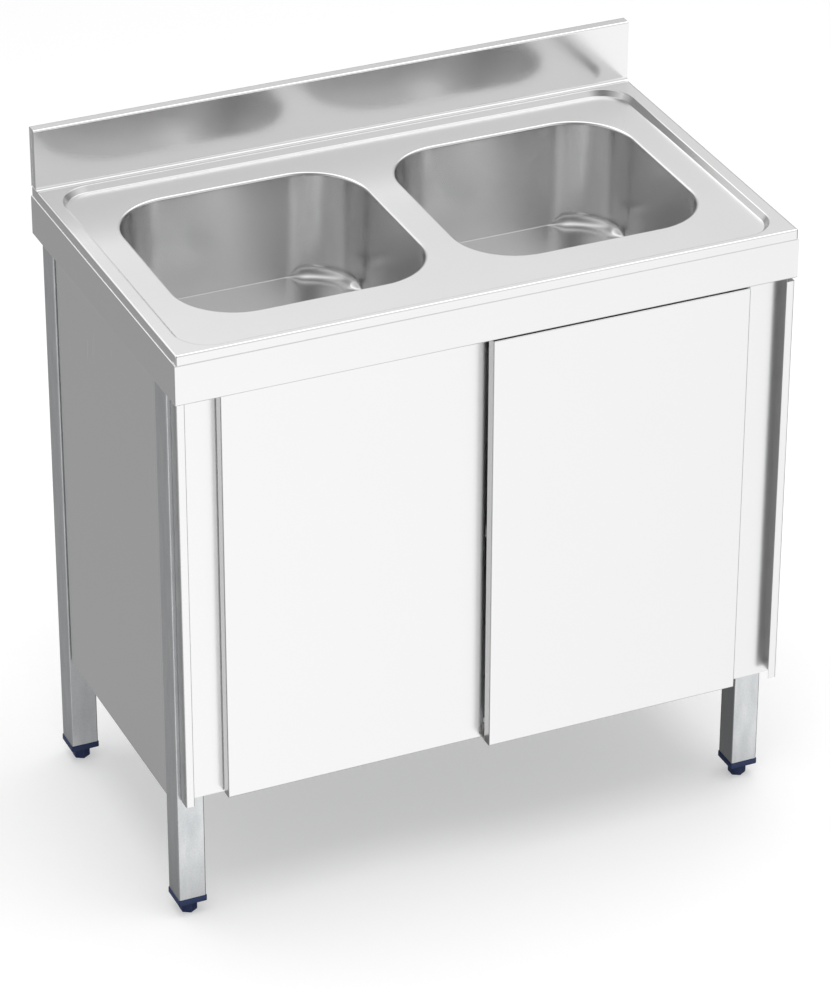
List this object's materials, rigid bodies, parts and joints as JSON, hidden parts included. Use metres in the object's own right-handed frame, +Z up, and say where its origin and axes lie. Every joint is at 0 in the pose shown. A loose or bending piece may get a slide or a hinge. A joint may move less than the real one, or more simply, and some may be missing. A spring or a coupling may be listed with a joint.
{
  "type": "kitchen sink unit",
  "caption": "Free-standing stainless steel sink unit: worktop with two bowls and upstand on a legged cabinet with sliding doors.",
  "frame": {"origin": "on the floor under the middle of the unit", "axes": "+X to the right seen from the front, +Y towards the wall, +Z up"},
  "size_m": [0.903, 0.54, 0.996],
  "materials": {
    "steel_sheet": "satin",
    "steel_pressed": "satin",
    "steel_tube": "satin",
    "steel_zinc": "zinc plated",
    "steel_bright": "polished",
    "plastic_navy": "moulded",
    "plastic_pale": "moulded",
    "rubber_black": "moulded"
  },
  "bodies": {
    "cabinet": {"worktop": "steel_sheet", "upstand_cap_left": "steel_sheet", "upstand_cap_right": "steel_sheet", "deck_stiffener": "steel_zinc", "bowl_left": "steel_pressed", "bowl_right": "steel_pressed", "waste_body_left": "steel_bright", "waste_body_right": "steel_bright", "waste_gasket_left": "rubber_black", "waste_gasket_right": "rubber_black", "waste_nut_left": "plastic_pale", "waste_nut_right": "plastic_pale", "waste_strainer_left": "steel_bright", "waste_strainer_right": "steel_bright", "skirt_left": "steel_sheet", "skirt_right": "steel_sheet", "apron_front": "steel_sheet", "apron_rear": "steel_sheet", "leg_front_left": "steel_tube", "leg_front_right": "steel_tube", "leg_rear_left": "steel_tube", "leg_rear_right": "steel_tube", "rail_front": "steel_zinc", "rail_rear": "steel_zinc", "rail_left": "steel_zinc", "rail_right": "steel_zinc", "foot_socket_front_left": "plastic_navy", "foot_socket_front_right": "plastic_navy", "foot_socket_rear_left": "plastic_navy", "foot_socket_rear_right": "plastic_navy", "side_panel_left": "steel_sheet", "side_panel_right": "steel_sheet", "rear_panel": "steel_sheet", "bottom_shelf": "steel_zinc", "post_left": "steel_sheet", "post_right": "steel_sheet", "post_spacer": "steel_sheet", "door_track": "steel_zinc", "track_stop_left_low": "rubber_black", "track_stop_left_high": "rubber_black", "track_stop_right_low": "rubber_black", "track_stop_right_high": "rubber_black", "door_guide": "plastic_pale"},
    "door_left": {"door_left_shell": "steel_sheet", "door_left_liner": "steel_sheet", "hanger_left_a": "steel_zinc", "hanger_left_b": "steel_zinc"},
    "door_right": {"door_right_shell": "steel_sheet", "door_right_liner": "steel_sheet", "hanger_right_a": "steel_zinc", "hanger_right_b": "steel_zinc"},
    "roller_left_a": {"roller_left_a": "plastic_pale"},
    "roller_left_b": {"roller_left_b": "plastic_pale"},
    "roller_right_a": {"roller_right_a": "plastic_pale"},
    "roller_right_b": {"roller_right_b": "plastic_pale"},
    "foot_front_left": {"foot_screw_front_left": "plastic_navy"},
    "foot_front_right": {"foot_screw_front_right": "plastic_navy"},
    "foot_rear_left": {"foot_screw_rear_left": "plastic_navy"},
    "foot_rear_right": {"foot_screw_rear_right": "plastic_navy"}
  },
  "joints": [
    {"name": "door_left_slide", "type": "slide", "parent": "cabinet", "child": "door_left", "axis": [1, 0, 0], "range_m": [0, 0.37]},
    {"name": "door_right_slide", "type": "slide", "parent": "cabinet", "child": "door_right", "axis": [-1, 0, 0], "range_m": [0, 0.37]},
    {"name": "roller_left_a_turn", "type": "hinge", "parent": "door_left", "child": "roller_left_a", "pos_m": [-0.3345, -0.2335, 0.8598], "axis": [0, 1, 0], "range_deg": [-10, 2250]},
    {"name": "roller_left_b_turn", "type": "hinge", "parent": "door_left", "child": "roller_left_b", "pos_m": [-0.0425, -0.2335, 0.8598], "axis": [0, 1, 0], "range_deg": [-10, 2250]},
    {"name": "roller_right_a_turn", "type": "hinge", "parent": "door_right", "child": "roller_right_a", "pos_m": [0.0445, -0.259, 0.8598], "axis": [0, -1, 0], "range_deg": [-10, 2250]},
    {"name": "roller_right_b_turn", "type": "hinge", "parent": "door_right", "child": "roller_right_b", "pos_m": [0.3365, -0.259, 0.8598], "axis": [0, -1, 0], "range_deg": [-10, 2250]},
    {"name": "foot_front_left_screw", "type": "slide", "parent": "cabinet", "child": "foot_front_left", "axis": [0, 0, -1], "range_m": [0, 0.02]},
    {"name": "foot_front_right_screw", "type": "slide", "parent": "cabinet", "child": "foot_front_right", "axis": [0, 0, -1], "range_m": [0, 0.02]},
    {"name": "foot_rear_left_screw", "type": "slide", "parent": "cabinet", "child": "foot_rear_left", "axis": [0, 0, -1], "range_m": [0, 0.02]},
    {"name": "foot_rear_right_screw", "type": "slide", "parent": "cabinet", "child": "foot_rear_right", "axis": [0, 0, -1], "range_m": [0, 0.02]}
  ],
  "couplings": [
    {"joint": "roller_left_a_turn", "follows": "door_left_slide", "rad_per_m": 105.26},
    {"joint": "roller_left_b_turn", "follows": "door_left_slide", "rad_per_m": 105.26},
    {"joint": "roller_right_a_turn", "follows": "door_right_slide", "rad_per_m": 105.26},
    {"joint": "roller_right_b_turn", "follows": "door_right_slide", "rad_per_m": 105.26}
  ]
}
